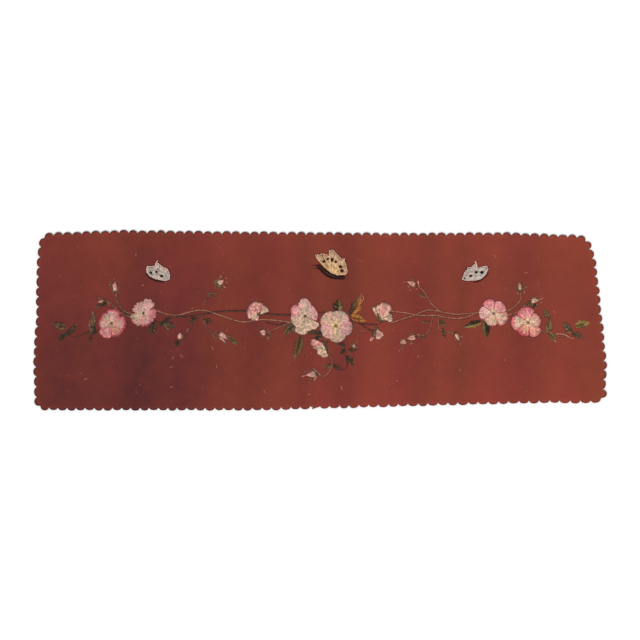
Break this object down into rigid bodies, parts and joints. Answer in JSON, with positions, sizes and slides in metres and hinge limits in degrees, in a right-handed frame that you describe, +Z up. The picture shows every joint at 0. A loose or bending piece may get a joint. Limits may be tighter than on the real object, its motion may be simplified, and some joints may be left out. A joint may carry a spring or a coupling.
{
  "type": "embroidered felt table runner",
  "caption": "Long wool felt table runner with a scalloped edge, embroidered in silk with dog roses, buds, leaves and butterflies.",
  "frame": {"origin": "on the table, under the middle of the cloth", "axes": "+X along the cloth to the right as seen by a person reading it, +Y across it, away from that person, +Z up"},
  "size_m": [0.9759, 0.3073, 0.0049],
  "materials": {
    "felt": "matt wool felt",
    "rose_silk": "stitched silk, satin sheen",
    "leaf_silk": "stitched silk, satin sheen",
    "butterfly_silk": "stitched silk, satin sheen",
    "dark_silk": "stitched silk, satin sheen"
  },
  "bodies": {
    "root": {"felt": "felt", "rose_1": "rose_silk", "rose_2": "rose_silk", "rose_3": "rose_silk", "rose_4": "rose_silk", "rose_5": "rose_silk", "rose_6": "rose_silk", "half_open_1": "rose_silk", "half_open_2": "rose_silk", "half_open_3": "rose_silk", "half_open_4": "rose_silk", "bud_1": "rose_silk", "bud_2": "rose_silk", "bud_3": "rose_silk", "bud_4": "rose_silk", "bud_5": "rose_silk", "bud_6": "rose_silk", "bud_7": "rose_silk", "bud_8": "rose_silk", "bud_9": "rose_silk", "bud_10": "rose_silk", "bud_11": "rose_silk", "bud_12": "rose_silk", "bud_13": "rose_silk", "bud_14": "rose_silk", "butterfly_left": "butterfly_silk", "butterfly_centre": "butterfly_silk", "butterfly_right": "butterfly_silk", "butterfly_centre_body": "dark_silk", "sprig_1": "leaf_silk", "sprig_2": "leaf_silk", "sprig_3": "leaf_silk", "sprig_4": "leaf_silk", "sprig_5": "leaf_silk", "sprig_6": "leaf_silk", "sprig_7": "leaf_silk", "sprig_8": "leaf_silk", "sprig_9": "leaf_silk", "sprig_10": "leaf_silk", "sprig_11": "leaf_silk", "sprig_12": "leaf_silk", "sprig_13": "leaf_silk", "sprig_14": "leaf_silk", "sprig_15": "leaf_silk", "sprig_16": "leaf_silk", "sprig_17": "leaf_silk", "sprig_18": "leaf_silk", "sprig_19": "leaf_silk", "sprig_20": "leaf_silk", "sprig_21": "leaf_silk"}
  },
  "joints": []
}
